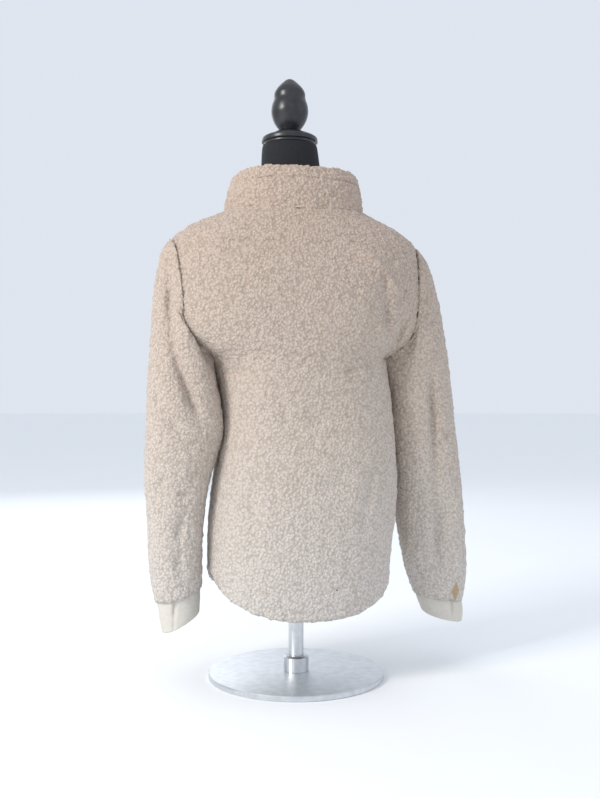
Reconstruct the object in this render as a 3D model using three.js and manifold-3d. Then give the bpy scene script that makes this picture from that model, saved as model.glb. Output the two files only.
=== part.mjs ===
// Sherpa fleece jacket on a limbless dress form with a small round-base stand.
//
// Millimetres, +Z up.  The wearer faces -Y, so the back of the jacket faces +Y
// and the wearer's left hand is on +X.  The origin is the centre of the
// underside of the stand's base.

import * as THREE from "three";
import { mergeVertices } from "three/addons/utils/BufferGeometryUtils.js";
import Module from "manifold-3d";

// ------------------------------------------------------------ driving sizes

const SHERPA = 4;
const COLLAR_CLOTH = 6;
const CUFF_CLOTH = 2;
const SEAM_GAP = 0.3;
const TRIM_GAP = 0.35;
const TRIM_ANGLE = 0.3;

const UNDERARM_Z = 527;
const SHOULDER_TIP_Z = 714;
const ARMHOLE_SWING = 29;
const HEM_SIDE_Z = 187;
const NECK_SIDE_Z = 768.7;
const HEM_CENTRE_Z = { back: 115, front: 120 };
const NECK_CENTRE_Z = { back: 760.6, front: 712 };
const BODY_POWER = 2.3;
const SLEEVE_POWER = 2.2;

const HEM_ROWS = 8;
const ARMHOLE_ROWS = 12;
const YOKE_ROWS = 5;
const BACK_COLUMNS = 16;
const FRONT_COLUMNS = 8;
const SLEEVE_ROWS = 17;
const SLEEVE_AROUND = 2 * ARMHOLE_ROWS;
const SLEEVE_BLEND = 110;
const CUFF_ROWS = 3;
const COLLAR_ROWS = 5;
const COLLAR_COLUMNS = 26;

const PANEL_EDGE_X = 6.5;
const ZIP_SLIDER_Z = 690;
const TAPE_INNER_X = 2.4;
const TAPE_OUTER_X = 16;
const TAPE_THICK = 1;
const TAPE_GAP = 1;
const TAPE_HEM_Z = 124;
const TAPE_TOP_Z = 708;

const BASE_RADIUS = 145;
const BASE_THICK = 9;
const POLE_RADIUS = 12.5;
const SOCKET_RADIUS = 21;
const SOCKET_HEIGHT = 26;
const FLANGE_RADIUS = 40;
const FLANGE_THICK = 5;
const FORM_BOTTOM_Z = 205;
const NECK_TOP_Z = 890;
const NECK_LEAN_Y = -45;

const DEG = Math.PI / 180;

// ------------------------------------------------------------------- tables

// Horizontal slices of the jacket body: half-widths to the wearer's left and
// right, depths behind and in front of the side line, and where that line is.
const BODY_SLICES = table(
  ["z", "left", "right", "back", "front", "leftY", "rightY"],
  [
    [100, 148, 151, 120, 114, 0, 0],
    [115, 148, 152, 120, 114, 0, 0],
    [193, 147, 157, 120, 112, 0, 0],
    [243, 147, 164, 117, 111, 0, 0],
    [292, 142, 171, 114, 110, 0, 0],
    [333, 137, 170, 109, 107, 0, 0],
    [383, 128, 167.5, 103, 104, 0, 0],
    [416, 119.5, 166, 100, 103, 0, 0],
    [457, 126.5, 161, 100, 105, 0, -4],
    [507, 133, 157, 103, 112, 0, -8],
    [527, 142, 156, 105, 115, 0, -10],
    [541, 170, 178, 107, 118, 0, -11],
    [560, 206, 206, 108, 120, 0, -12],
    [585, 217, 217, 109, 121, 0, -12],
    [620, 222, 222, 110, 120, 0, -12],
    [665, 219, 219, 105, 106, -1, -10],
    [695, 211, 211, 97, 94, -2, -7],
    [714, 206, 206, 91, 86, -3, -5],
    [723, 199, 199, 88, 82, -4, -4],
    [731, 190, 190, 85, 78, -5, -5],
    [739.5, 175, 175, 82, 73, -5, -5],
    [748, 159, 159, 79, 68, -6, -6],
    [756, 137, 137, 77, 65, -7, -7],
    [768, 115, 115, 74, 62, -8, -8],
    [776, 100, 100, 72, 60, -8, -8],
  ],
);

// Height of a panel's centre line for each height of its side edge.
const CENTRE_HEIGHT = {
  back: table(["edge", "z"], [
    [HEM_SIDE_Z, HEM_CENTRE_Z.back],
    [UNDERARM_Z, 515],
    [SHOULDER_TIP_Z, 708],
    [NECK_SIDE_Z, NECK_CENTRE_Z.back],
  ]),
  front: table(["edge", "z"], [
    [HEM_SIDE_Z, HEM_CENTRE_Z.front],
    [UNDERARM_Z, 500],
    [SHOULDER_TIP_Z, 664],
    [NECK_SIDE_Z, NECK_CENTRE_Z.front],
  ]),
};

// Rings of each sleeve from the armhole to the cuff seam: the outer and inner
// points in the front view, the half-depth, the middle's Y and how much lower
// the back of the ring hangs.
const RING_COLUMNS = ["run", "outerX", "outerZ", "innerX", "innerZ", "depth", "midY", "sag"];
const SLEEVE_RINGS = {
  left: table(RING_COLUMNS, [
    [0, 206, 714, 143, 527, 58, 0, 0],
    [15, 215, 706, 143.5, 520, 59, 0, 0],
    [35, 220, 686, 143.5, 511, 60, 1, 0],
    [65, 226.5, 660, 143, 499, 60, 2, 0],
    [105, 231.5, 622, 140, 481, 59, 3, 0],
    [170, 235.7, 557, 131, 441, 56, 4, 0],
    [235, 240.8, 490, 127.8, 404, 53, 5, 0],
    [300, 242.8, 424, 137, 372, 50, 5, 0],
    [370, 246, 352, 150, 330, 47, 4, 0],
    [430, 243, 291, 157.5, 287, 44, 2, 0],
    [500, 239, 225, 162, 225, 41, 0, 0],
    [560, 237.4, 165, 162.5, 172, 38, -3, 1],
    [578, 235, 147, 161.5, 162, 37, -4, 2],
    [588, 229, 137, 162, 157.5, 35, -4, 3],
  ]),
  right: table(RING_COLUMNS, [
    [0, 206, 714, 158, 527, 58, -6, 0],
    [15, 217, 706, 158.5, 519, 60, -8, 0],
    [35, 229, 690, 160, 510, 61, -9, 0],
    [65, 237, 660, 163, 496, 61, -11, 0],
    [105, 248, 623, 166.5, 470, 60, -13, 0],
    [170, 261.6, 557, 172, 416, 57, -16, 0],
    [235, 273, 490, 178, 356, 53, -18, 0],
    [300, 281.5, 424, 183.5, 304, 49, -20, 0],
    [370, 291.5, 352, 189, 260, 45, -21, 0],
    [430, 298.5, 291, 193.5, 232, 42, -22, 0],
    [500, 304.5, 225, 199, 201, 38, -24, 1],
    [560, 308.5, 170, 207.5, 165, 35, -25, 3],
    [585, 309.5, 140, 213, 145, 34, -25, 4],
    [600, 307, 122, 217, 132, 33, -25, 5],
    [608, 302, 114, 221, 126, 31, -25, 5],
  ]),
};
const SLEEVE_LENGTH = { left: 588, right: 608 };

// Rings of each jersey cuff, from its seam to its open end.
const CUFF_RINGS = {
  left: table(RING_COLUMNS, [
    [0, 227.8, 136.5, 163.1, 157, 33.8, -4, 3],
    [12, 226.5, 124, 161.5, 148, 34, -4, 3],
    [30, 223, 104, 162, 133, 33, -4, 3],
    [48, 220, 86, 163, 119, 32, -4, 3],
  ]),
  right: table(RING_COLUMNS, [
    [0, 300.8, 112, 222.2, 124, 29.8, -25, 5],
    [12, 304.5, 103, 225, 116, 30.5, -25, 5],
    [28, 304.5, 89, 229.5, 104, 30, -25, 6],
    [42, 303, 76, 234, 93, 29, -25, 7],
  ]),
};
const CUFF_LENGTH = { left: 48, right: 42 };

// The collar's top edge from the back centre (0) to its front corners (1).
const COLLAR_TOP = {
  left: table(["q", "x", "y", "z"], [
    [0, 0, 66, 831.5],
    [0.2, 55, 57, 831],
    [0.4, 92, 29, 829],
    [0.55, 102, -8, 825],
    [0.7, 104, -46, 815],
    [0.85, 88, -80, 796],
    [1, 46, -99, 768],
  ]),
  right: table(["q", "x", "y", "z"], [
    [0, 0, 66, 831.5],
    [0.2, 55, 57, 831],
    [0.4, 93, 29, 829],
    [0.55, 108, -8, 823],
    [0.7, 126, -48, 807],
    [0.85, 110, -86, 788],
    [1, 62, -102, 762],
  ]),
};
const COLLAR_BASE_ANGLE = 177.5;
const COLLAR_BOW = 3;

// Slices of the dress form's torso and neck.
const FORM_SLICES = table(
  ["z", "half", "back", "front", "midY"],
  [
    [205, 119, 90, 82, 0],
    [212, 122, 93, 85, 0],
    [260, 128, 96, 90, 0],
    [330, 124, 92, 90, 0],
    [410, 106, 80, 82, 0],
    [470, 112, 84, 90, 0],
    [540, 128, 92, 104, 0],
    [600, 136, 96, 104, 0],
    [650, 150, 92, 92, 0],
    [690, 172, 84, 78, -3],
    [712, 177, 78, 70, -3],
    [725, 176, 75, 66, -4],
    [734, 172.5, 72, 63, -5],
    [742.5, 159.5, 69, 60, -6],
    [750.5, 135.5, 66, 57, -7],
    [762, 108, 62, 54, -8],
    [775, 80, 56, 50, -12],
    [790, 62, 52, 49, -18],
    [810, 55, 49, 48, -25],
    [850, 50, 48, 48, -38],
    [880, 49.5, 49, 49, -44],
    [890, 47, 47, 47, -45],
  ],
);
const FORM_LEVELS = 26;
const FORM_AROUND = 28;

// Radii of the turned pieces above the neck.
const CAP_PROFILE = [[895, 46], [895.6, 48], [902, 48], [904, 46], [908, 38], [911.5, 29], [914, 20]];
const FINIAL_PROFILE = table(["z", "radius"], [
  [914.3, 17],
  [918, 18.8],
  [926, 24.7],
  [935, 29.4],
  [948, 32.2],
  [960, 30.8],
  [969, 27.4],
  [972.5, 26.6],
  [977, 27.4],
  [986, 23.9],
  [994.5, 16.2],
  [1003, 6.7],
]);
const FINIAL_BOTTOM_Z = 914.3;
const FINIAL_TOP_Z = 1005;
const FINIAL_ROWS = 20;

// Folds pressed into the cloth: a line in the front view (x, z), the depth of
// the trough (negative for a ridge) and its width.  Folds of the back face +Y.
const BODY_FOLDS = [
  { face: 1, depth: 7, width: 26, line: [[192, 562], [170, 537], [152, 522], [107, 497]] },
  { face: 1, depth: 6, width: 26, line: [[-128, 655], [-132, 590], [-140, 522]] },
  { face: 1, depth: -5, width: 26, line: [[-72, 694], [-110, 677], [-137, 652], [-152, 625]] },
  { face: 1, depth: 6, width: 24, line: [[-177, 606], [-158, 551], [-140, 520]] },
  { face: -1, depth: 6, width: 26, line: [[186, 566], [160, 536], [112, 505]] },
  { face: -1, depth: 6, width: 26, line: [[-186, 566], [-162, 540], [-118, 512]] },
];
const SLEEVE_FOLDS = {
  left: [
    { face: 1, depth: 9, width: 26, line: [[212, 672], [212, 551], [203, 512], [183, 457], [158, 410]] },
    { face: -1, depth: 7, width: 26, line: [[210, 640], [204, 540], [188, 470], [160, 420]] },
    { face: 1, depth: 4, width: 24, line: [[236, 330], [205, 300], [178, 292]] },
  ],
  right: [
    { face: 1, depth: 8, width: 28, line: [[220, 520], [232, 430], [240, 330], [250, 230], [262, 160]] },
    { face: -1, depth: 7, width: 28, line: [[212, 560], [226, 460], [240, 360], [252, 250]] },
  ],
};

// ------------------------------------------------------------ number helpers

/** Smooth columns through a short table of rows, without overshoot. */
function table(names, rows) {
  const keys = rows.map((row) => row[0]);
  const columns = {};
  for (let c = 1; c < names.length; c += 1) {
    columns[names[c]] = smoothColumn(keys, rows.map((row) => row[c]));
  }
  return columns;
}

/** Monotone cubic interpolation of values at rising keys. */
function smoothColumn(keys, values) {
  const last = keys.length - 1;
  const step = keys.slice(1).map((key, i) => key - keys[i]);
  const slope = step.map((size, i) => (values[i + 1] - values[i]) / size);
  const tangent = keys.map((_, i) => {
    if (i === 0) return slope[0];
    if (i === last) return slope[last - 1];
    if (slope[i - 1] * slope[i] <= 0) return 0;
    const before = 2 * step[i] + step[i - 1];
    const after = step[i] + 2 * step[i - 1];
    return (before + after) / (before / slope[i - 1] + after / slope[i]);
  });
  return (key) => {
    let i = 0;
    while (i < last - 1 && key > keys[i + 1]) i += 1;
    const t = THREE.MathUtils.clamp((key - keys[i]) / step[i], 0, 1);
    const a = values[i] * (1 + 2 * t) * (1 - t) ** 2;
    const b = step[i] * tangent[i] * t * (1 - t) ** 2;
    const c = values[i + 1] * t * t * (3 - 2 * t);
    const d = step[i] * tangent[i + 1] * t * t * (t - 1);
    return a + b + c + d;
  };
}

const lerp = THREE.MathUtils.lerp;
const smoothstep = (low, high, value) => THREE.MathUtils.smoothstep(value, low, high);

/** Keeps the sign and raises the size to a power: rounds or squares an oval. */
const signedPower = (value, power) => Math.sign(value) * Math.abs(value) ** power;

/** Distance from a point to a line of points, and how far along it is (0 to 1). */
function alongLine(line, x, z) {
  let best = { distance: Infinity, along: 0 };
  for (let i = 0; i < line.length - 1; i += 1) {
    const [ax, az] = line[i];
    const [bx, bz] = line[i + 1];
    const size = (bx - ax) ** 2 + (bz - az) ** 2;
    const t = THREE.MathUtils.clamp(((x - ax) * (bx - ax) + (z - az) * (bz - az)) / size, 0, 1);
    const distance = Math.hypot(x - ax - t * (bx - ax), z - az - t * (bz - az));
    if (distance < best.distance) best = { distance, along: (i + t) / (line.length - 1) };
  }
  return best;
}

/** How far the folds press the cloth in at a place of the front view. */
function foldDepth(folds, face, x, z) {
  let depth = 0;
  for (const fold of folds) {
    if (fold.face !== face) continue;
    const { distance, along } = alongLine(fold.line, x, z);
    const ends = smoothstep(-0.15, 0.25, along) * smoothstep(-0.15, 0.25, 1 - along);
    depth += fold.depth * ends * Math.exp(-((2 * distance / fold.width) ** 2));
  }
  return depth;
}

// ------------------------------------------------------------- jacket shapes

/** Outer surface of the jacket body; 0 degrees is the back, 90 the left side. */
function bodyPoint(angle, z) {
  const sine = Math.sin(angle * DEG);
  const cosine = Math.cos(angle * DEG);
  const half = sine >= 0 ? BODY_SLICES.left(z) : BODY_SLICES.right(z);
  const sideY = sine >= 0 ? BODY_SLICES.leftY(z) : BODY_SLICES.rightY(z);
  const depth = cosine >= 0 ? BODY_SLICES.back(z) : BODY_SLICES.front(z);
  const x = half * signedPower(sine, 2 / BODY_POWER);
  const y = depth * signedPower(cosine, 2 / BODY_POWER) + sideY * sine * sine;
  const face = cosine >= 0 ? 1 : -1;
  const press = foldDepth(BODY_FOLDS, face, x, z) * smoothstep(0, 0.5, Math.abs(cosine));
  const out = new THREE.Vector3(sine * depth, cosine * half, 0).normalize();
  return new THREE.Vector3(x, y, z).addScaledVector(out, -press);
}

/** Outward normal of any surface given by two numbers. */
function surfaceNormal(surface, u, v, stepU, stepV) {
  const alongU = surface(u + stepU, v).sub(surface(u - stepU, v));
  const alongV = surface(u, v + stepV).sub(surface(u, v - stepV));
  return alongU.cross(alongV).normalize();
}

/** Inward direction of the body wall. */
const bodyInward = (angle, z) => surfaceNormal(bodyPoint, angle, z, 0.8, 1.5);

/** Angle that lies a small distance in front of or behind the side line. */
function besideSeam(z, distance) {
  const depth = distance >= 0 ? BODY_SLICES.back(z) : BODY_SLICES.front(z);
  const share = (Math.abs(distance) / depth) ** (BODY_POWER / 2);
  return 90 - Math.sign(distance) * Math.asin(share) / DEG;
}

/** The rows of the body panels: height and angle of the side or armhole edge. */
function bodyRows() {
  const rows = [];
  for (let i = 0; i <= HEM_ROWS; i += 1) {
    rows.push({ z: lerp(HEM_SIDE_Z, UNDERARM_Z, i / HEM_ROWS), swing: 0 });
  }
  for (let i = 1; i <= ARMHOLE_ROWS; i += 1) {
    const phi = Math.PI * i / ARMHOLE_ROWS;
    rows.push({ z: armholeZ(phi), swing: ARMHOLE_SWING * Math.sin(phi) });
  }
  for (let i = 1; i <= YOKE_ROWS; i += 1) {
    rows.push({ z: lerp(SHOULDER_TIP_Z, NECK_SIDE_Z, i / YOKE_ROWS), swing: 0 });
  }
  return rows;
}

/** Height of the armhole seam; 0 is the underarm and pi the shoulder tip. */
function armholeZ(phi) {
  const middle = (UNDERARM_Z + SHOULDER_TIP_Z) / 2;
  const half = (SHOULDER_TIP_Z - UNDERARM_Z) / 2;
  return middle - half * Math.cos(phi);
}

/** Height on a body panel's row at an angle: edges and centre joined in a curve. */
function rowHeight(panel, row, angle, edgeAngle) {
  const cosEdge = Math.abs(Math.cos(edgeAngle * DEG));
  const sinEdge = Math.abs(Math.sin(edgeAngle * DEG));
  const tailShare = (Math.abs(Math.cos(angle * DEG)) - cosEdge) / (1 - cosEdge);
  const neckShare = 1 - Math.abs(Math.sin(angle * DEG)) / sinEdge;
  const share = lerp(tailShare, neckShare, smoothstep(UNDERARM_Z, SHOULDER_TIP_Z, row.z));
  return lerp(row.z, CENTRE_HEIGHT[panel].z(row.z), share);
}

/** Point of the armhole seam of one side; phi runs up the back, down the front. */
function armholePoint(side, phi) {
  const angle = side * (90 - ARMHOLE_SWING * Math.sin(phi));
  return { angle, z: armholeZ(phi), point: bodyPoint(angle, armholeZ(phi)) };
}

/** Oval ring through an outer and an inner point; side is +1 left, -1 right. */
function ringPoint(rings, side, phi, run) {
  const out = signedPower(-Math.cos(phi), 2 / SLEEVE_POWER);
  const back = signedPower(Math.sin(phi), 2 / SLEEVE_POWER);
  const middleX = (rings.outerX(run) + rings.innerX(run)) / 2;
  const middleZ = (rings.outerZ(run) + rings.innerZ(run)) / 2;
  const halfX = (rings.outerX(run) - rings.innerX(run)) / 2;
  const halfZ = (rings.outerZ(run) - rings.innerZ(run)) / 2;
  return new THREE.Vector3(
    side * (middleX + halfX * out),
    rings.midY(run) + rings.depth(run) * back,
    middleZ + halfZ * out - rings.sag(run) * back,
  );
}

/** Outer surface of a sleeve: its ring, eased into the armhole seam. */
function sleevePoint(side, phi, run) {
  const name = side > 0 ? "left" : "right";
  const rings = SLEEVE_RINGS[name];
  const ease = 1 - smoothstep(0, SLEEVE_BLEND, run);
  const shift = armholePoint(side, phi).point.sub(ringPoint(rings, side, phi, 0));
  const point = ringPoint(rings, side, phi, run).addScaledVector(shift, ease);
  const face = Math.sin(phi) >= 0 ? 1 : -1;
  const facing = smoothstep(0, 0.6, Math.abs(Math.sin(phi))) * smoothstep(0, 60, run);
  const press = foldDepth(SLEEVE_FOLDS[name], face, side * point.x, point.z) * facing;
  point.y -= face * press;
  return point;
}

/** Places on the neck seam; q is 0 at the back centre and +-1 at the front. */
function neckSeam(q) {
  const angle = COLLAR_BASE_ANGLE * q;
  const panel = Math.abs(angle) <= 90 ? "back" : "front";
  const share = 1 - Math.abs(Math.sin(angle * DEG));
  const z = lerp(NECK_SIDE_Z, NECK_CENTRE_Z[panel], share);
  return bodyPoint(angle, z);
}

/** Outer surface of the collar; h is 0 on the neck seam and 1 at the top edge. */
function collarPoint(q, h) {
  const top = q >= 0 ? COLLAR_TOP.left : COLLAR_TOP.right;
  const size = Math.abs(q);
  const base = neckSeam(q).add(new THREE.Vector3(0, 0, SEAM_GAP));
  const edge = new THREE.Vector3(Math.sign(q) * top.x(size), top.y(size), top.z(size));
  const point = base.lerp(edge, h);
  const bow = COLLAR_BOW * Math.sin(Math.PI * h);
  const out = new THREE.Vector3(point.x, point.y, 0).normalize();
  return point.addScaledVector(out, bow);
}

// ------------------------------------------------------------- mesh builders

/** Geometry from points and triangles, turned right side out. */
function bodyOfFaces(points, faces) {
  let volume = 0;
  for (const [a, b, c] of faces) {
    volume += points[a].dot(points[b].clone().cross(points[c]));
  }
  const outward = volume > 0 ? faces : faces.map(([a, b, c]) => [a, c, b]);
  const geometry = new THREE.BufferGeometry();
  geometry.setAttribute("position", new THREE.Float32BufferAttribute(points.flatMap((p) => p.toArray()), 3));
  geometry.setIndex(outward.flat());
  return geometry;
}

/**
 * A cloth panel as one closed wall: a grid of outer points, the same grid moved
 * inward, and rims round its edges.  A joined panel is a tube.
 */
function clothWall(rows, columns, thick, pointAt, inwardAt, joined) {
  const points = [];
  const across = joined ? columns : columns + 1;
  for (const depth of [0, thick]) {
    for (let i = 0; i <= rows; i += 1) {
      for (let j = 0; j < across; j += 1) {
        points.push(pointAt(i, j).addScaledVector(inwardAt(i, j), depth));
      }
    }
  }
  const layer = (rows + 1) * across;
  const outer = (i, j) => i * across + (j % across);
  const inner = (i, j) => layer + outer(i, j);
  const faces = [];
  const quad = (a, b, c, d) => faces.push([a, b, c], [a, c, d]);
  for (let i = 0; i < rows; i += 1) {
    for (let j = 0; j < columns; j += 1) {
      quad(outer(i, j), outer(i, j + 1), outer(i + 1, j + 1), outer(i + 1, j));
      faces.push([inner(i, j), inner(i + 1, j + 1), inner(i, j + 1)]);
      faces.push([inner(i, j), inner(i + 1, j), inner(i + 1, j + 1)]);
    }
  }
  for (let j = 0; j < columns; j += 1) {
    quad(outer(0, j), inner(0, j), inner(0, j + 1), outer(0, j + 1));
    quad(outer(rows, j), outer(rows, j + 1), inner(rows, j + 1), inner(rows, j));
  }
  if (!joined) {
    for (let i = 0; i < rows; i += 1) {
      quad(outer(i, 0), outer(i + 1, 0), inner(i + 1, 0), inner(i, 0));
      quad(outer(i, columns), inner(i, columns), inner(i + 1, columns), outer(i + 1, columns));
    }
  }
  return bodyOfFaces(points, faces);
}

/** A solid of stacked closed rings with a flat fan at each end. */
function stackedRings(levels, around, pointAt) {
  const points = [];
  for (let i = 0; i <= levels; i += 1) {
    for (let j = 0; j < around; j += 1) points.push(pointAt(i, 2 * Math.PI * j / around));
  }
  const faces = [];
  const at = (i, j) => i * around + (j % around);
  for (let i = 0; i < levels; i += 1) {
    for (let j = 0; j < around; j += 1) {
      faces.push([at(i, j), at(i, j + 1), at(i + 1, j + 1)], [at(i, j), at(i + 1, j + 1), at(i + 1, j)]);
    }
  }
  for (const i of [0, levels]) {
    const centre = new THREE.Vector3();
    for (let j = 0; j < around; j += 1) centre.addScaledVector(points[at(i, j)], 1 / around);
    points.push(centre);
    for (let j = 0; j < around; j += 1) {
      const pair = i === 0 ? [at(i, j + 1), at(i, j)] : [at(i, j), at(i, j + 1)];
      faces.push([points.length - 1, ...pair]);
    }
  }
  return bodyOfFaces(points, faces);
}

/** A piece turned about the Z axis from a profile of [radius, z] points. */
function turned(profile, segments) {
  const outline = profile.map(([radius, z]) => new THREE.Vector2(radius, z));
  const geometry = new THREE.LatheGeometry(outline, segments);
  geometry.deleteAttribute("normal");
  geometry.deleteAttribute("uv");
  geometry.rotateX(Math.PI / 2);
  const merged = mergeVertices(geometry);
  return withOutwardFaces(merged);
}

/** Drops flat triangles and turns a merged geometry right side out. */
function withOutwardFaces(geometry) {
  const position = geometry.getAttribute("position");
  const points = [];
  for (let i = 0; i < position.count; i += 1) {
    points.push(new THREE.Vector3().fromBufferAttribute(position, i));
  }
  const index = geometry.getIndex().array;
  const faces = [];
  for (let i = 0; i < index.length; i += 3) {
    const face = [index[i], index[i + 1], index[i + 2]];
    if (new Set(face).size === 3) faces.push(face);
  }
  return bodyOfFaces(points, faces);
}

const wasm = await Module();
wasm.setup();

/** A merged closed geometry as a solid that can be joined and cut. */
function solidOf(geometry) {
  const bare = geometry.clone();
  bare.deleteAttribute("normal");
  bare.deleteAttribute("uv");
  const merged = withOutwardFaces(mergeVertices(bare, 1e-4));
  return new wasm.Manifold(new wasm.Mesh({
    numProp: 3,
    vertProperties: new Float32Array(merged.getAttribute("position").array),
    triVerts: new Uint32Array(merged.getIndex().array),
  }));
}

/** The geometry of a solid after its joins and cuts. */
function geometryOf(solid) {
  const mesh = solid.getMesh();
  const geometry = new THREE.BufferGeometry();
  geometry.setAttribute("position", new THREE.Float32BufferAttribute(mesh.vertProperties, 3));
  geometry.setIndex([...mesh.triVerts]);
  return geometry;
}

/** A box by its size and centre. */
function box(width, depth, height, x, y, z) {
  return new THREE.BoxGeometry(width, depth, height).translate(x, y, z);
}

/** A cylinder along X by its radius, length and centre. */
function rodX(radius, length, y, z, sides) {
  return new THREE.CylinderGeometry(radius, radius, length, sides).rotateZ(Math.PI / 2).translate(0, y, z);
}

// -------------------------------------------------------------------- panels

/**
 * The back, in one piece from side seam to side seam.  Grown by an amount, it
 * is the space that its neighbours keep out of.
 */
function backPanel(grow = 0) {
  const rows = bodyRows();
  const placeAt = (i, j) => {
    const row = rows[i];
    const seam = row.swing > 0 ? 90 - row.swing : besideSeam(row.z, SEAM_GAP / 2);
    const edge = seam + (grow > 0 ? TRIM_ANGLE : 0);
    const angle = lerp(-edge, edge, j / BACK_COLUMNS);
    return [angle, rowHeight("back", row, angle, edge)];
  };
  return bodyWall(rows.length - 1, BACK_COLUMNS, placeAt, grow);
}

/** A wall on the body's surface, thicker on both faces by an amount. */
function bodyWall(rowCount, columnCount, placeAt, grow) {
  const inwardAt = (i, j) => bodyInward(...placeAt(i, j));
  const pointAt = (i, j) => bodyPoint(...placeAt(i, j)).addScaledVector(inwardAt(i, j), -grow);
  return clothWall(rowCount, columnCount, SHERPA + 2 * grow, pointAt, inwardAt, false);
}

/** One front, from its side seam to the zip. */
function frontPanel(side, grow = 0) {
  const rows = bodyRows();
  const placeAt = (i, j) => {
    const row = rows[i];
    const edge = row.swing > 0 ? 90 + row.swing : besideSeam(row.z, -SEAM_GAP / 2);
    const seam = edge - (grow > 0 ? TRIM_ANGLE : 0);
    const zipZ = CENTRE_HEIGHT.front.z(row.z);
    const angle = lerp(seam, zipAngle(side, PANEL_EDGE_X, zipZ), j / FRONT_COLUMNS);
    return [side * angle, rowHeight("front", row, angle, seam)];
  };
  return bodyWall(rows.length - 1, FRONT_COLUMNS, placeAt, grow);
}

/** Angle of a place on the front that lies a given distance from the centre. */
function zipAngle(side, distance, z) {
  const half = side > 0 ? BODY_SLICES.left(z) : BODY_SLICES.right(z);
  return 180 - Math.asin((distance / half) ** (BODY_POWER / 2)) / DEG;
}

/** One sleeve, a tube from the armhole seam to the cuff seam. */
function sleeve(side) {
  const length = SLEEVE_LENGTH[side > 0 ? "left" : "right"];
  const runAt = (i) => length * (i / SLEEVE_ROWS) ** 1.15;
  const phiAt = (j) => 2 * Math.PI * j / SLEEVE_AROUND;
  const surface = (phi, run) => sleevePoint(side, phi, run);
  const inward = (phi, run) => surfaceNormal(surface, phi, run, 0.01, 1.5).multiplyScalar(side);
  const seamMix = (phi) => {
    const { angle, z } = armholePoint(side, phi);
    const own = inward(phi, 1.5);
    const body = bodyInward(angle, z);
    const share = smoothstep(-0.2, 0.4, own.dot(body));
    return { own, body, share };
  };
  const pointAt = (i, j) => {
    const phi = phiAt(j);
    if (i > 0) return surface(phi, runAt(i));
    const { own, body, share } = seamMix(phi);
    const along = surface(phi, 4).sub(surface(phi, 0)).normalize();
    const away = along.multiplyScalar(share).addScaledVector(body, share - 1).normalize();
    return surface(phi, 0).addScaledVector(away, 2 * SEAM_GAP);
  };
  const inwardAt = (i, j) => {
    const phi = phiAt(j);
    if (i > 0) return inward(phi, runAt(i));
    const { own, body, share } = seamMix(phi);
    return own.multiplyScalar(1 - share).addScaledVector(body, share).normalize();
  };
  const tube = solidOf(clothWall(SLEEVE_ROWS, SLEEVE_AROUND, SHERPA, pointAt, inwardAt, true));
  const trimmed = tube.subtract(solidOf(backPanel(TRIM_GAP))).subtract(solidOf(frontPanel(side, TRIM_GAP)));
  return geometryOf(largestPiece(trimmed));
}

/** The biggest of a solid's separate pieces. */
function largestPiece(solid) {
  return solid.decompose().reduce((best, piece) => (piece.volume() > best.volume() ? piece : best));
}

/** One jersey cuff, a tube from the end of the sleeve. */
function cuff(side) {
  const name = side > 0 ? "left" : "right";
  const runAt = (i) => CUFF_LENGTH[name] * i / CUFF_ROWS;
  const phiAt = (j) => 2 * Math.PI * j / SLEEVE_AROUND;
  const surface = (phi, run) => ringPoint(CUFF_RINGS[name], side, phi, run);
  const inward = (phi, run) => surfaceNormal(surface, phi, run, 0.01, 1.5).multiplyScalar(side);
  return clothWall(CUFF_ROWS, SLEEVE_AROUND, CUFF_CLOTH,
    (i, j) => surface(phiAt(j), runAt(i)), (i, j) => inward(phiAt(j), runAt(i)), true);
}

/** The stand collar, open at the front. */
function collar() {
  const qAt = (j) => 2 * j / COLLAR_COLUMNS - 1;
  const inwardAt = (i, j) => {
    const q = THREE.MathUtils.clamp(qAt(j), -0.985, 0.985);
    return surfaceNormal(collarPoint, q, THREE.MathUtils.clamp(i / COLLAR_ROWS, 0.06, 0.94), 0.015, 0.06);
  };
  return clothWall(COLLAR_ROWS, COLLAR_COLUMNS, COLLAR_CLOTH,
    (i, j) => collarPoint(qAt(j), i / COLLAR_ROWS), (i, j) => inwardAt(i, j), false);
}

/** One zip tape, lying inside the front's edge. */
function zipTape(side) {
  const tapeRows = 16;
  const placeAt = (i, j) => {
    const z = lerp(TAPE_HEM_Z, TAPE_TOP_Z, i / tapeRows);
    return [side * zipAngle(side, lerp(TAPE_INNER_X, TAPE_OUTER_X, j / 2), z), z];
  };
  const inset = SHERPA + TAPE_GAP;
  return clothWall(tapeRows, 2, TAPE_THICK,
    (i, j) => bodyPoint(...placeAt(i, j)).addScaledVector(bodyInward(...placeAt(i, j)), inset),
    (i, j) => bodyInward(...placeAt(i, j)), false);
}

// ----------------------------------------------------------------- hardware

/** Turns a piece built flat on the zip to the slope of the front there. */
function onZip(geometry) {
  const place = bodyPoint(180, ZIP_SLIDER_Z);
  const reach = 10;
  const above = bodyPoint(180, ZIP_SLIDER_Z + reach);
  const below = bodyPoint(180, ZIP_SLIDER_Z - reach);
  const slope = Math.atan2(above.y - below.y, 2 * reach);
  const inset = (SHERPA + TAPE_GAP) / Math.cos(slope);
  return geometry.rotateX(-slope).translate(0, place.y + inset, ZIP_SLIDER_Z);
}

// Sizes of the slider and its pull, built about the tape's outer face with the
// pull hanging towards -Z and -Y pointing out of the cloth.
const SLIDER_WIDTH = 9;
const SLIDER_LENGTH = 13;
const SLIDER_PLATE = 1.4;
const SLIDER_LIFT = 0.6;
const POST_WIDTH = 3;
const PIN_OUT = 7.6;
const PIN_RADIUS = 0.9;
const EYE_HOLE = 1.3;
const EYE_RADIUS = 2.2;
const EYE_WIDTH = 4.4;
const EAR_GAP = 0.35;
const EAR_WIDTH = 1.2;
const PULL_LENGTH = 29;
const PULL_WIDTH = 9;
const PULL_THICK = 1.6;

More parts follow.
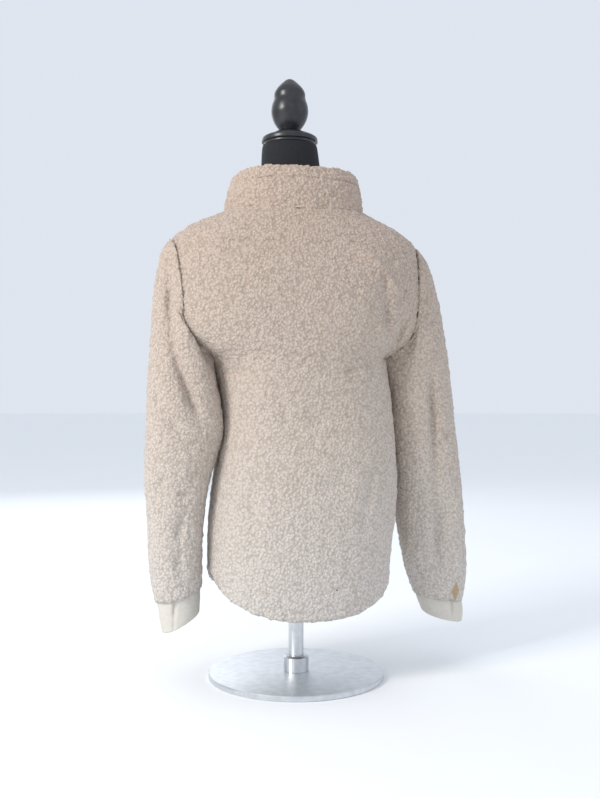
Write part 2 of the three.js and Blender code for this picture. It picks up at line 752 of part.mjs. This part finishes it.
/** The slider: two plates joined by a post, with two ears and a pin in front. */
function zipSlider() {
  const plateY = SLIDER_LIFT + SLIDER_PLATE / 2;
  const rearY = TAPE_THICK + SLIDER_LIFT + SLIDER_PLATE / 2;
  const earX = EYE_WIDTH / 2 + EAR_GAP + EAR_WIDTH / 2;
  const earLength = PIN_OUT - SLIDER_LIFT;
  const postDepth = rearY + plateY;
  let slider = solidOf(box(SLIDER_WIDTH, SLIDER_PLATE, SLIDER_LENGTH, 0, -plateY, 0));
  slider = slider.add(solidOf(box(SLIDER_WIDTH, SLIDER_PLATE, SLIDER_LENGTH, 0, rearY, 0)));
  slider = slider.add(solidOf(box(POST_WIDTH, postDepth, SLIDER_LENGTH / 2, 0, (rearY - plateY) / 2, 2)));
  for (const side of [-1, 1]) {
    const ear = box(EAR_WIDTH, earLength, 2 * EYE_RADIUS, side * earX, -SLIDER_LIFT - earLength / 2, 0);
    slider = slider.add(solidOf(ear));
    const tip = rodX(EYE_RADIUS, EAR_WIDTH, -PIN_OUT, 0, 16).translate(side * earX, 0, 0);
    slider = slider.add(solidOf(tip));
  }
  slider = slider.add(solidOf(rodX(PIN_RADIUS, 2 * earX, -PIN_OUT, 0, 16)));
  return onZip(geometryOf(slider));
}

/** The pull tab: an eye round the slider's pin and a plate with rounded end. */
function zipPull() {
  const neckLength = 6;
  let pull = solidOf(rodX(EYE_RADIUS, EYE_WIDTH, -PIN_OUT, 0, 16));
  pull = pull.add(solidOf(box(EYE_WIDTH, PULL_THICK, neckLength, 0, -PIN_OUT, -neckLength / 2)));
  const plate = new THREE.Shape();
  plate.moveTo(-EYE_WIDTH / 2, -neckLength + 1);
  plate.lineTo(EYE_WIDTH / 2, -neckLength + 1);
  plate.lineTo(PULL_WIDTH / 2, -neckLength - 4);
  plate.lineTo(PULL_WIDTH / 2, -PULL_LENGTH + PULL_WIDTH / 2);
  plate.absarc(0, -PULL_LENGTH + PULL_WIDTH / 2, PULL_WIDTH / 2, 0, -Math.PI, true);
  plate.closePath();
  const flat = new THREE.ExtrudeGeometry(plate, { depth: PULL_THICK, bevelEnabled: false, curveSegments: 8 });
  flat.translate(0, 0, -PULL_THICK / 2).rotateX(Math.PI / 2).translate(0, -PIN_OUT, 0);
  pull = pull.add(solidOf(flat));
  const slot = rodX(2.1, 20, 0, 0, 12).rotateY(Math.PI / 2).rotateX(Math.PI / 2);
  pull = pull.subtract(solidOf(slot.translate(0, -PIN_OUT, -PULL_LENGTH + PULL_WIDTH / 2)));
  pull = pull.subtract(solidOf(rodX(EYE_HOLE, EYE_WIDTH + 2, -PIN_OUT, 0, 16)));
  return onZip(geometryOf(pull));
}

// --------------------------------------------------------- dress form, stand

/** The padded torso and neck in one smooth body. */
function formTorso() {
  return stackedRings(FORM_LEVELS, FORM_AROUND, (i, turn) => {
    const u = i / FORM_LEVELS;
    const z = lerp(FORM_BOTTOM_Z, NECK_TOP_Z, u);
    const sine = Math.sin(turn);
    const cosine = Math.cos(turn);
    const depth = cosine >= 0 ? FORM_SLICES.back(z) : FORM_SLICES.front(z);
    const power = lerp(2 / 2.2, 1, smoothstep(760, 860, z));
    return new THREE.Vector3(
      FORM_SLICES.half(z) * signedPower(sine, power),
      FORM_SLICES.midY(z) + depth * signedPower(cosine, power),
      z,
    );
  });
}

/** The domed cap on the neck. */
function neckCap() {
  const bottom = NECK_TOP_Z + SEAM_GAP;
  const profile = [[0, bottom], [44, bottom], [44, CAP_PROFILE[0][0]]];
  for (const [z, radius] of CAP_PROFILE) profile.push([radius, z]);
  profile.push([0, CAP_PROFILE.at(-1)[0]]);
  return turned(profile, 32).translate(0, NECK_LEAN_Y, 0);
}

/** The turned acorn finial. */
function finial() {
  const profile = [[0, FINIAL_BOTTOM_Z]];
  for (let i = 0; i < FINIAL_ROWS; i += 1) {
    const z = lerp(FINIAL_BOTTOM_Z, FINIAL_TOP_Z - 2, i / (FINIAL_ROWS - 1));
    profile.push([FINIAL_PROFILE.radius(z), z]);
  }
  profile.push([0, FINIAL_TOP_Z]);
  return turned(profile, 24).translate(0, NECK_LEAN_Y, 0);
}

const POLE_BOTTOM_Z = BASE_THICK + SEAM_GAP;
const FLANGE_TOP_Z = FORM_BOTTOM_Z - SEAM_GAP;
const POLE_TOP_Z = FLANGE_TOP_Z - FLANGE_THICK - SEAM_GAP;

/** The round steel base. */
function standBase() {
  const edge = 1.5;
  return turned([
    [0, 0],
    [BASE_RADIUS - edge, 0],
    [BASE_RADIUS, edge],
    [BASE_RADIUS, BASE_THICK - edge],
    [BASE_RADIUS - edge, BASE_THICK],
    [0, BASE_THICK],
  ], 48);
}

/** The ring that holds the pole on the base. */
function baseSocket() {
  const bore = POLE_RADIUS + SEAM_GAP;
  const bottom = BASE_THICK + SEAM_GAP;
  return turned([
    [bore, bottom],
    [SOCKET_RADIUS, bottom],
    [SOCKET_RADIUS, bottom + SOCKET_HEIGHT - 3],
    [SOCKET_RADIUS - 3, bottom + SOCKET_HEIGHT],
    [bore, bottom + SOCKET_HEIGHT],
    [bore, bottom],
  ], 32);
}

/** The pole between the base and the flange. */
function standPole() {
  return turned([[0, POLE_BOTTOM_Z], [POLE_RADIUS, POLE_BOTTOM_Z], [POLE_RADIUS, POLE_TOP_Z], [0, POLE_TOP_Z]], 32);
}

/** The flange screwed under the torso. */
function poleFlange() {
  const bottom = FLANGE_TOP_Z - FLANGE_THICK;
  return turned([[0, bottom], [FLANGE_RADIUS, bottom], [FLANGE_RADIUS, FLANGE_TOP_Z], [0, FLANGE_TOP_Z]], 32);
}

// ---------------------------------------------------------------- the object

const FINISH = {
  sherpa: { color: 0xcdbfb2, roughness: 0.95, metalness: 0 },
  jersey: { color: 0xd6d1c6, roughness: 0.9, metalness: 0 },
  tape: { color: 0xbcae9e, roughness: 0.9, metalness: 0 },
  nickel: { color: 0xa8a59f, roughness: 0.35, metalness: 1 },
  black_jersey: { color: 0x16171b, roughness: 0.9, metalness: 0 },
  black_wood: { color: 0x1d1e21, roughness: 0.35, metalness: 0 },
  steel: { color: 0xc4c6c8, roughness: 0.4, metalness: 1 },
};

const jacket = new THREE.Group();

function add(name, finish, geometry) {
  const mesh = new THREE.Mesh(geometry, new THREE.MeshStandardMaterial(FINISH[finish]));
  mesh.name = name;
  jacket.add(mesh);
}

add("back_panel", "sherpa", backPanel());
add("front_left", "sherpa", frontPanel(1));
add("front_right", "sherpa", frontPanel(-1));
add("sleeve_left", "sherpa", sleeve(1));
add("sleeve_right", "sherpa", sleeve(-1));
add("collar", "sherpa", collar());
add("cuff_left", "jersey", cuff(1));
add("cuff_right", "jersey", cuff(-1));
add("zip_tape_left", "tape", zipTape(1));
add("zip_tape_right", "tape", zipTape(-1));
add("zip_slider", "nickel", zipSlider());
add("zip_pull", "nickel", zipPull());
add("form_torso", "black_jersey", formTorso());
add("neck_cap", "black_wood", neckCap());
add("finial", "black_wood", finial());
add("pole_flange", "steel", poleFlange());
add("stand_pole", "steel", standPole());
add("base_socket", "steel", baseSocket());
add("stand_base", "steel", standBase());

export default jacket;
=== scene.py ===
"""Looks of the sherpa jacket on its dress form: fine cloth, pile, zip teeth, finishes."""
import math

import bmesh
import bpy
import numpy as np
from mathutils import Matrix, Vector, noise


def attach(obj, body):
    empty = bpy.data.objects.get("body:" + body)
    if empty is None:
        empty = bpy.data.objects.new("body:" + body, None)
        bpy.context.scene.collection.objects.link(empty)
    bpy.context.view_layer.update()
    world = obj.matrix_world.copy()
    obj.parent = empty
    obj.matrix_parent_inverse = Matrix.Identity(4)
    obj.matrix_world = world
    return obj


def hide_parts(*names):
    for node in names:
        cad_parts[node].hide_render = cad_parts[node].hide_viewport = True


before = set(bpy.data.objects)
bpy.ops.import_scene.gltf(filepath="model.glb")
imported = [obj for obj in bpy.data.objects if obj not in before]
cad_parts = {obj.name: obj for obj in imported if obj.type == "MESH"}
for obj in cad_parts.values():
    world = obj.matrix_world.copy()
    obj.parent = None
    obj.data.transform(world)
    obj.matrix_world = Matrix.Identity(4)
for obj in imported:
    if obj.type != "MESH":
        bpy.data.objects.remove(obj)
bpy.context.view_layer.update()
scene = bpy.context.scene
BODY = "jacket_and_form"

# ---------------------------------------------------------------- camera

CAMERA_HEIGHT = 0.459
CAMERA_DISTANCE = 1.609
CAMERA_AZIMUTH = math.radians(166)
CAMERA_LENS = 43.7
CAMERA_SHIFT = 0.005


def make_camera():
    """A level camera behind the jacket, a little to the wearer's left."""
    data = bpy.data.cameras.new("camera")
    data.lens = CAMERA_LENS
    data.sensor_width = 36
    data.shift_x = CAMERA_SHIFT
    camera = bpy.data.objects.new("camera", data)
    camera.location = (
        CAMERA_DISTANCE * math.sin(CAMERA_AZIMUTH),
        -CAMERA_DISTANCE * math.cos(CAMERA_AZIMUTH),
        CAMERA_HEIGHT,
    )
    camera.rotation_euler = (math.pi / 2, 0, CAMERA_AZIMUTH)
    scene.collection.objects.link(camera)
    scene.camera = camera


make_camera()

# ------------------------------------------------------------- materials


def new_material(name, roughness, metallic=0.0):
    """A node material with its shader's plain values set."""
    material = bpy.data.materials.new(name)
    material.use_nodes = True
    shader = material.node_tree.nodes["Principled BSDF"]
    shader.inputs["Roughness"].default_value = roughness
    shader.inputs["Metallic"].default_value = metallic
    return material, material.node_tree, shader


def node(tree, kind, **values):
    """Adds a node and sets its named inputs."""
    made = tree.nodes.new(kind)
    for key, value in values.items():
        made.inputs[key].default_value = value
    return made


def place(tree):
    """Object coordinates, in metres."""
    return tree.nodes.new("ShaderNodeTexCoord").outputs["Object"]


def noise_at(tree, scale, detail=3.0):
    """Fine noise over the object's own coordinates."""
    made = node(tree, "ShaderNodeTexNoise", Scale=scale, Detail=detail)
    tree.links.new(place(tree), made.inputs["Vector"])
    return made.outputs["Fac"]


def math_node(tree, operation, first, second):
    """One sum; numbers and sockets may be given."""
    made = tree.nodes.new("ShaderNodeMath")
    made.operation = operation
    for socket, value in zip(made.inputs, (first, second)):
        if isinstance(value, (int, float)):
            socket.default_value = value
        else:
            tree.links.new(value, socket)
    return made.outputs[0]


def ramp(tree, fac, stops):
    """Colours along a value."""
    made = tree.nodes.new("ShaderNodeValToRGB")
    elements = made.color_ramp.elements
    while len(elements) < len(stops):
        elements.new(0.5)
    for element, (at, colour) in zip(elements, stops):
        element.position = at
        element.color = (*colour, 1)
    tree.links.new(fac, made.inputs[0])
    return made.outputs["Color"]


def mix(tree, fac, first, second, blend="MIX"):
    """Mixes two colours by a value."""
    made = tree.nodes.new("ShaderNodeMix")
    made.data_type = "RGBA"
    made.blend_type = blend
    for socket, value in ((made.inputs[0], fac), (made.inputs[6], first), (made.inputs[7], second)):
        if isinstance(value, float):
            socket.default_value = value
        elif isinstance(value, tuple):
            socket.default_value = (*value, 1)
        else:
            tree.links.new(value, socket)
    return made.outputs[2]


def bump(tree, shader, height, strength, distance):
    """Bump from a height socket."""
    made = node(tree, "ShaderNodeBump", Strength=strength, Distance=distance)
    tree.links.new(height, made.inputs["Height"])
    tree.links.new(made.outputs[0], shader.inputs["Normal"])


STAIN_PLACE = (-0.281, 0.128)
STAIN_HALF = (0.0078, 0.016)
SPECK_PLACE = (-0.036, 0.162)
SPECK_HALF = (0.0016, 0.0016)
SPOT_NOISE_SCALE = 260
SPOT_NOISE = 0.5
SPOT_REACH = 1.55
SPOT_SOFTNESS = 2.5
SPOT_BEHIND_Y = -0.01


def spot(tree, x, z, y, centre, half):
    """1 inside a diamond on the back of the cloth, with a soft, uneven edge."""
    across = math_node(tree, "ABSOLUTE", math_node(tree, "SUBTRACT", x, centre[0]), 0)
    up = math_node(tree, "ABSOLUTE", math_node(tree, "SUBTRACT", z, centre[1]), 0)
    reach = math_node(tree, "ADD", math_node(tree, "DIVIDE", across, half[0]),
                      math_node(tree, "DIVIDE", up, half[1]))
    ragged = math_node(tree, "MULTIPLY", noise_at(tree, SPOT_NOISE_SCALE), SPOT_NOISE)
    reach = math_node(tree, "ADD", reach, ragged)
    inside = math_node(tree, "SUBTRACT", SPOT_REACH, reach)
    soft = tree.nodes.new("ShaderNodeClamp")
    tree.links.new(math_node(tree, "MULTIPLY", inside, SPOT_SOFTNESS), soft.inputs[0])
    behind = math_node(tree, "GREATER_THAN", y, SPOT_BEHIND_Y)
    return math_node(tree, "MULTIPLY", soft.outputs[0], behind)


PILE_HEIGHT_SPAN = 0.8
CURL_CELLS = 230.0
FIBRE_SCALE = 700


def sherpa_material():
    """Curly pile: rounded curl tops with painted light, painted shade in the gaps between them, fine
    fibres, lighter towards the hem.
    """
    material, tree, shader = new_material("sherpa_pile", 0.95)
    shader.inputs["Sheen Weight"].default_value = 0.25
    shader.inputs["Sheen Roughness"].default_value = 0.6
    shader.inputs["Specular IOR Level"].default_value = 0.15
    parts = tree.nodes.new("ShaderNodeSeparateXYZ")
    tree.links.new(place(tree), parts.inputs[0])
    x, y, z = parts.outputs
    warp = noise_at(tree, 90)
    height = math_node(tree, "ADD", math_node(tree, "DIVIDE", z, PILE_HEIGHT_SPAN),
                       math_node(tree, "MULTIPLY", math_node(tree, "SUBTRACT", warp, 0.5), 0.12))
    ground = ramp(tree, height, [
        (0.15, (0.74, 0.705, 0.67)),
        (0.5, (0.68, 0.60, 0.53)),
        (0.95, (0.60, 0.485, 0.405)),
    ])
    cells = node(tree, "ShaderNodeTexVoronoi", Scale=CURL_CELLS, Randomness=1.0)
    tree.links.new(place(tree), cells.inputs["Vector"])
    # Painted shade: the colour darkens towards each cell's edge, in the gaps between the curl tops,
    # and the tops get painted light above the base colour.
    painted_curl_shading = ramp(tree, cells.outputs["Distance"], [
        (0.0, (1.06, 1.06, 1.06)),
        (0.75, (0.62, 0.57, 0.52)),
    ])
    colour = mix(tree, 0.8, ground, painted_curl_shading, "MULTIPLY")
    fibres = ramp(tree, noise_at(tree, FIBRE_SCALE, 5), [
        (0.3, (0.84, 0.82, 0.8)),
        (0.7, (1.08, 1.08, 1.08)),
    ])
    colour = mix(tree, 0.6, colour, fibres, "MULTIPLY")
    colour = mix(tree, spot(tree, x, z, y, STAIN_PLACE, STAIN_HALF), colour, (0.46, 0.33, 0.19))
    colour = mix(tree, spot(tree, x, z, y, SPECK_PLACE, SPECK_HALF), colour, (0.10, 0.07, 0.05))
    tree.links.new(colour, shader.inputs["Base Color"])
    lumps = math_node(tree, "MULTIPLY", cells.outputs["Distance"], -1.0)
    lumps = math_node(tree, "ADD", lumps, math_node(tree, "MULTIPLY", noise_at(tree, 420, 4), 0.7))
    bump(tree, shader, lumps, 0.9, 0.0022)
    return material


def woven_material(name, dark, light, scale, roughness, strength):
    """A fine knit or weave: rows of small loops over two close colours."""
    material, tree, shader = new_material(name, roughness)
    rows = node(tree, "ShaderNodeTexWave", Scale=scale, Distortion=1.5, Detail=2.0)
    rows.bands_direction = "Z"
    tree.links.new(place(tree), rows.inputs["Vector"])
    fleck = math_node(tree, "MULTIPLY", rows.outputs["Fac"], noise_at(tree, scale * 0.8))
    tree.links.new(ramp(tree, fleck, [(0.1, dark), (0.6, light)]), shader.inputs["Base Color"])
    bump(tree, shader, fleck, strength, 0.0006)
    return material


def hard_material(name, dark, light, scale, roughness, metallic):
    """Lacquer or metal with faint streaks and small wear."""
    material, tree, shader = new_material(name, roughness, metallic)
    streaks = noise_at(tree, scale, 6)
    tree.links.new(ramp(tree, streaks, [(0.3, dark), (0.7, light)]), shader.inputs["Base Color"])
    bump(tree, shader, streaks, 0.08, 0.0004)
    return material


SHERPA = sherpa_material()
JERSEY = woven_material("cuff_jersey", (0.60, 0.56, 0.49), (0.74, 0.71, 0.65), 260.0, 0.9, 0.5)
TAPE = woven_material("zip_tape", (0.44, 0.37, 0.29), (0.58, 0.50, 0.41), 500.0, 0.9, 0.6)
BLACK = woven_material("black_jersey", (0.004, 0.004, 0.006), (0.016, 0.017, 0.022), 420.0, 0.85, 0.4)
WOOD = hard_material("black_lacquer", (0.010, 0.010, 0.012), (0.028, 0.029, 0.033), 60.0, 0.32, 0.0)
NICKEL = hard_material("nickel", (0.50, 0.48, 0.45), (0.66, 0.64, 0.60), 300.0, 0.3, 1.0)
STEEL = hard_material("satin_steel", (0.62, 0.64, 0.66), (0.74, 0.76, 0.78), 80.0, 0.38, 1.0)

# ------------------------------------------------------------ fine pieces

FLAT_JOIN = math.radians(55)
RIM_ANGLE = math.radians(50)
WELD = 2e-6
CLOTH_RIM = 1.0
FORM_RIM = 0.9


def fine_copy(name, cad, levels, material, rim=CLOTH_RIM):
    """The CAD node's form as a smooth mesh that replaces it."""
    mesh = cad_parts[cad].data.copy()
    mesh.name = name
    mesh.materials.clear()
    mesh.materials.append(material)
    work = bmesh.new()
    work.from_mesh(mesh)
    bmesh.ops.remove_doubles(work, verts=work.verts, dist=WELD)
    bmesh.ops.join_triangles(work, faces=work.faces, angle_face_threshold=FLAT_JOIN,
                             angle_shape_threshold=FLAT_JOIN)
    crease = work.edges.layers.float.new("crease_edge")
    for edge in work.edges:
        if len(edge.link_faces) == 2 and edge.calc_face_angle(0.0) > RIM_ANGLE:
            edge[crease] = rim
    work.to_mesh(mesh)
    work.free()
    for attribute in ("custom_normal", "sharp_face", "sharp_edge"):
        if attribute in mesh.attributes:
            mesh.attributes.remove(mesh.attributes[attribute])
    piece = bpy.data.objects.new(name, mesh)
    scene.collection.objects.link(piece)
    smooth = piece.modifiers.new("smooth", "SUBSURF")
    smooth.levels = levels
    smooth.render_levels = levels
    graph = bpy.context.evaluated_depsgraph_get()
    fine = bpy.data.meshes.new_from_object(piece.evaluated_get(graph))
    piece.modifiers.clear()
    piece.data = fine
    fine.name = name
    for polygon in fine.polygons:
        polygon.use_smooth = True
    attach(piece, BODY)
    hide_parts(cad)
    return piece


def segment_distance(x, z, line):
    """Distance of many points from a line of points, and the share along it."""
    best = np.full(len(x), np.inf)
    share = np.zeros(len(x))
    for i, ((ax, az), (bx, bz)) in enumerate(zip(line, line[1:])):
        size = (bx - ax) ** 2 + (bz - az) ** 2
        t = np.clip(((x - ax) * (bx - ax) + (z - az) * (bz - az)) / size, 0, 1)
        distance = np.hypot(x - ax - t * (bx - ax), z - az - t * (bz - az))
        nearer = distance < best
        best[nearer] = distance[nearer]
        share[nearer] = (i + t[nearer]) / (len(line) - 1)
    return best, share


MILLIMETRES = 1000
CREASE_STRENGTH = 2.7
CREASE_ENDS = 5
CREASE_END_SHARE = 0.2
CREASE_FACING = 25
PILE_STANDS_PROUD = 0.9
CLUMP_SCALE = 75
CURL_SCALE = 210
STITCH_DEPTH = 1.8
STITCH_WIDTH = 1.6

# Creases in millimetres: which face (+1 back, -1 front), depth (negative stands
# out), width and the line in the front view.
CREASES = {
    "back": [
        (1, 4.0, 13, [(190, 556), (168, 536), (150, 521), (118, 503), (100, 494)]),
        (1, -3.5, 16, [(186, 574), (160, 552), (130, 530), (100, 514)]),
        (1, 3.0, 14, [(-122, 660), (-129, 600), (-134, 552)]),
        (1, 3.5, 12, [(-176, 606), (-158, 552), (-141, 521)]),
        (1, -2.5, 15, [(-70, 696), (-108, 680), (-134, 654), (-150, 626)]),
        (1, 2.2, 14, [(-112, 520), (-80, 508), (-52, 505)]),
        (1, 1.8, 20, [(60, 430), (20, 418), (-30, 424)]),
        (1, 1.6, 22, [(-60, 330), (-20, 318), (30, 322)]),
        (1, 1.5, 18, [(-120, 380), (-90, 300), (-84, 240)]),
        (1, 1.6, 20, [(100, 340), (86, 270), (90, 200)]),
        (1, 2.0, 12, [(-168, 640), (-160, 620)]),
    ],
    "front": [
        (-1, 3.5, 14, [(188, 560), (158, 534), (118, 508)]),
        (-1, 3.0, 14, [(-186, 560), (-160, 536), (-122, 512)]),
        (-1, 1.8, 18, [(80, 440), (40, 430), (14, 438)]),
        (-1, 1.8, 18, [(-90, 400), (-50, 392), (-14, 400)]),
        (-1, 1.6, 20, [(70, 620), (50, 560), (46, 500)]),
        (-1, 1.6, 20, [(-74, 610), (-56, 550), (-50, 490)]),
    ],
    "sleeve_left": [
        (1, 4.5, 13, [(214, 676), (213, 600), (211, 551), (202, 512), (183, 457), (160, 412)]),
        (1, 2.5, 14, [(236, 470), (222, 430), (196, 408)]),
        (1, 2.2, 14, [(240, 330), (212, 312), (182, 306)]),
        (1, 2.0, 16, [(196, 280), (200, 230), (198, 180)]),
        (-1, 3.0, 14, [(210, 640), (204, 540), (188, 470), (160, 420)]),
        (-1, 2.0, 16, [(236, 350), (206, 330), (176, 322)]),
    ],
    "sleeve_right": [
        (1, 4.0, 15, [(-222, 520), (-231, 430), (-238, 330), (-244, 240), (-250, 180)]),
        (1, 2.2, 12, [(-204, 628), (-222, 616), (-236, 600)]),
        (1, 2.2, 12, [(-206, 600), (-226, 584)]),
        (1, -2.0, 20, [(-278, 300), (-280, 220), (-284, 150)]),
        (1, 2.0, 16, [(-262, 400), (-244, 380)]),
        (-1, 3.5, 15, [(-214, 560), (-228, 460), (-242, 360), (-254, 250)]),
    ],
    "cuff": [
        (1, 1.5, 5, [(205, 150), (206, 92)]),
        (1, 1.5, 5, [(-276, 118), (-278, 66)]),
        (-1, 1.2, 5, [(190, 150), (190, 100)]),
        (-1, 1.2, 5, [(-262, 118), (-262, 84)]),
    ],
    "collar": [],
}


def shape_cloth(piece, creases, middle_y, clump, curl, proud=0.0, stitch=None):
    """Presses creases and a stitch line in, and raises the pile, all by formula."""
    mesh = piece.data
    count = len(mesh.vertices)
    co = np.empty(count * 3)
    mesh.vertices.foreach_get("co", co)
    co = co.reshape(-1, 3)
    normal = np.empty(count * 3)
    mesh.vertices.foreach_get("normal", normal)
    normal = normal.reshape(-1, 3)
    x, y, z = co.T * MILLIMETRES
    push = np.zeros(count)
    for face, depth, width, line in creases:
        distance, along = segment_distance(x, z, line)
        start = np.clip(along * CREASE_ENDS + CREASE_END_SHARE, 0, 1)
        end = np.clip((1 - along) * CREASE_ENDS + CREASE_END_SHARE, 0, 1)
        ends = start * end
        uneven = 0.75 + 0.35 * np.sin(along * 9 + depth * 3)
        facing = np.clip((y - middle_y) * face / CREASE_FACING, 0, 1)
        profile = np.exp(-((2 * distance / width) ** 2))
        push += CREASE_STRENGTH * depth * ends * uneven * facing * profile
    side = np.where(y > middle_y, 1.0, -1.0)
    co[:, 1] -= side * push / MILLIMETRES
    raised = np.empty(count)
    for i, point in enumerate(co):
        spot_at = Vector(point)
        clumps = clump * noise.noise(spot_at * CLUMP_SCALE)
        raised[i] = clumps + curl * noise.noise(spot_at * CURL_SCALE)
    raised += proud
    if stitch is not None:
        raised -= STITCH_DEPTH * np.exp(-((stitch(x, y, z) / STITCH_WIDTH) ** 2))
    co += normal * (raised / MILLIMETRES)[:, None]
    mesh.vertices.foreach_set("co", co.reshape(-1))
    mesh.update()


HEM_SIDE = 187.0
HEM_DROP = 72.0
HEM_HALF = 152.0
HEM_POWER = 2.3
HEM_STITCH = 12.5
COLLAR_STITCH_Z = 812.0
COLLAR_STITCH_FRONT = -30.0
FAR_FROM_STITCH = 99.0


def hem_stitch(x, y, z):
    """Height above the curved hem's stitch line."""
    bow = np.sqrt(np.clip(1 - (np.abs(x) / HEM_HALF) ** HEM_POWER, 0, 1))
    return z - (HEM_SIDE - HEM_DROP * bow + HEM_STITCH)


def collar_stitch(x, y, z):
    """Height above the collar's stitch line; far from it at the front."""
    return np.where(y > COLLAR_STITCH_FRONT, z - COLLAR_STITCH_Z, FAR_FROM_STITCH)


SHERPA_CLUMP = 1.5
SHERPA_CURL = 1.9
CUFF_CLUMP = 0.5
CUFF_CURL = 0.1

# Sherpa pieces: name, CAD node, subdivision, creases, middle Y in millimetres,
# stitch line, and the cut's width, length and area in metres.
SHERPA_PIECES = [
    ("back", "back_panel", 3, "back", 0, hem_stitch, (0.47, 0.655), 0.275),
    ("front_l", "front_left", 3, "front", 0, hem_stitch, (0.235, 0.65), 0.125),
    ("front_r", "front_right", 3, "front", 0, hem_stitch, (0.24, 0.65), 0.132),
    ("sleeve_l", "sleeve_left", 3, "sleeve_left", 3, None, (0.36, 0.585), 0.151),
    ("sleeve_r", "sleeve_right", 3, "sleeve_right", -18, None, (0.37, 0.605), 0.172),
    ("collar_stand", "collar", 4, "collar", 0, collar_stitch, (0.53, 0.075), 0.037),
]

# Cuffs: name, CAD node, sleeve, middle Y, and the cut's size and area.
CUFF_PIECES = [
    ("cuff_l", "cuff_left", "sleeve_l", -4, (0.205, 0.05), 0.0100),
    ("cuff_r", "cuff_right", "sleeve_r", -25, (0.205, 0.042), 0.0082),
]


def make_cloth():
    """Every cloth panel as a fine mesh; the sherpa and the cuffs get creases and pile."""
    for name, cad, levels, creases, middle, stitch, flat, area in SHERPA_PIECES:
        piece = fine_copy(name, cad, levels, SHERPA)
        shape_cloth(piece, CREASES[creases], middle, SHERPA_CLUMP, SHERPA_CURL,
                    PILE_STANDS_PROUD, stitch)
    for name, cad, sleeve, middle, flat, area in CUFF_PIECES:
        piece = fine_copy(name, cad, 3, JERSEY)
        shape_cloth(piece, CREASES["cuff"], middle, CUFF_CLUMP, CUFF_CURL)
    for side in ("left", "right"):
        piece = fine_copy(f"tape_{side[0]}", f"zip_tape_{side}", 2, TAPE)


make_cloth()
fine_copy("torso_cover", "form_torso", 2, BLACK, FORM_RIM)
fine_copy("cap_dome", "neck_cap", 2, WOOD, FORM_RIM)
fine_copy("acorn", "finial", 2, WOOD, FORM_RIM)

# ------------------------------------------------------------------- zip

TOOTH_PITCH = 0.0026
TOOTH_SIZE = Vector((0.0026, 0.0022, 0.0013))
TEETH_FROM = 0.126
TEETH_TO = 0.682
TOOTH_X = 0.00095
TAPE_EDGE_X = 0.0032


def make_teeth():
    """Two rows of small moulded teeth between the tapes."""
    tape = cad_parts["zip_tape_left"].data
    edge = sorted((v.co.z, v.co.y) for v in tape.vertices if v.co.x < TAPE_EDGE_X)
    heights = np.array([z for z, _ in edge])
    depths = np.array([y for _, y in edge])
    work = bmesh.new()
    for i in range(int((TEETH_TO - TEETH_FROM) / TOOTH_PITCH)):
        for side, lift in ((-1, 0.0), (1, 0.5)):
            z = TEETH_FROM + (i + lift) * TOOTH_PITCH
            y = float(np.interp(z, heights, depths))
            made = bmesh.ops.create_cube(work, size=1)["verts"]
            bmesh.ops.scale(work, vec=TOOTH_SIZE, verts=made)
            bmesh.ops.translate(work, vec=(side * TOOTH_X, y, z), verts=made)
    mesh = bpy.data.meshes.new("zip_teeth")
    work.to_mesh(mesh)
    work.free()
    mesh.materials.append(NICKEL)
    teeth = bpy.data.objects.new("zip_teeth", mesh)
    scene.collection.objects.link(teeth)
    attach(teeth, BODY)


make_teeth()

for cad_name, finish in (
    ("zip_slider", NICKEL), ("zip_pull", NICKEL), ("pole_flange", STEEL),
    ("stand_pole", STEEL), ("base_socket", STEEL), ("stand_base", STEEL),
):
    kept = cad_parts[cad_name]
    kept.data.materials.clear()
    kept.data.materials.append(finish)

# ------------------------------------------------------- floor and lights


FLOOR_RADIUS = 30
AIM_HEIGHT = 0.5

# Lights: name, place, size, power and colour.
LIGHTS = [
    ("key", (2.5, 1.2, 1.9), 0.9, 60, (1.0, 0.97, 0.93)),
    ("fill", (-2.6, 1.6, 1.4), 2.0, 4, (0.97, 0.98, 1.0)),
    ("front_fill", (0.4, -2.6, 1.8), 2.0, 16, (1.0, 1.0, 1.0)),
]


def make_floor():
    """A wide pale floor."""
    bpy.ops.mesh.primitive_circle_add(vertices=96, radius=FLOOR_RADIUS, fill_type="NGON")
    floor = bpy.context.object
    floor.name = "floor"
    material, tree, shader = new_material("pale_floor", 0.9)
    colour = ramp(tree, noise_at(tree, 3), [
        (0.3, (0.93, 0.945, 0.96)),
        (0.7, (0.94, 0.955, 0.97)),
    ])
    tree.links.new(colour, shader.inputs["Base Color"])
    shader.inputs["Specular IOR Level"].default_value = 0.1
    floor.data.materials.append(material)


def make_light(name, place_at, size, power, colour):
    """A soft square light aimed at the middle of the jacket."""
    data = bpy.data.lights.new(name, "AREA")
    data.shape = "SQUARE"
    data.size = size
    data.energy = power
    data.color = colour
    lamp = bpy.data.objects.new(name, data)
    lamp.location = place_at
    aim = Vector((0, 0, AIM_HEIGHT)) - Vector(place_at)
    lamp.rotation_euler = aim.to_track_quat("-Z", "Y").to_euler()
    scene.collection.objects.link(lamp)


def make_world():
    """Even pale surroundings."""
    world = bpy.data.worlds.new("world")
    world.use_nodes = True
    background = world.node_tree.nodes["Background"]
    background.inputs[0].default_value = (0.86, 0.915, 1.0, 1)
    background.inputs[1].default_value = 0.86
    scene.world = world


make_floor()
make_world()
for light in LIGHTS:
    make_light(*light)
scene.view_settings.view_transform = "Standard"
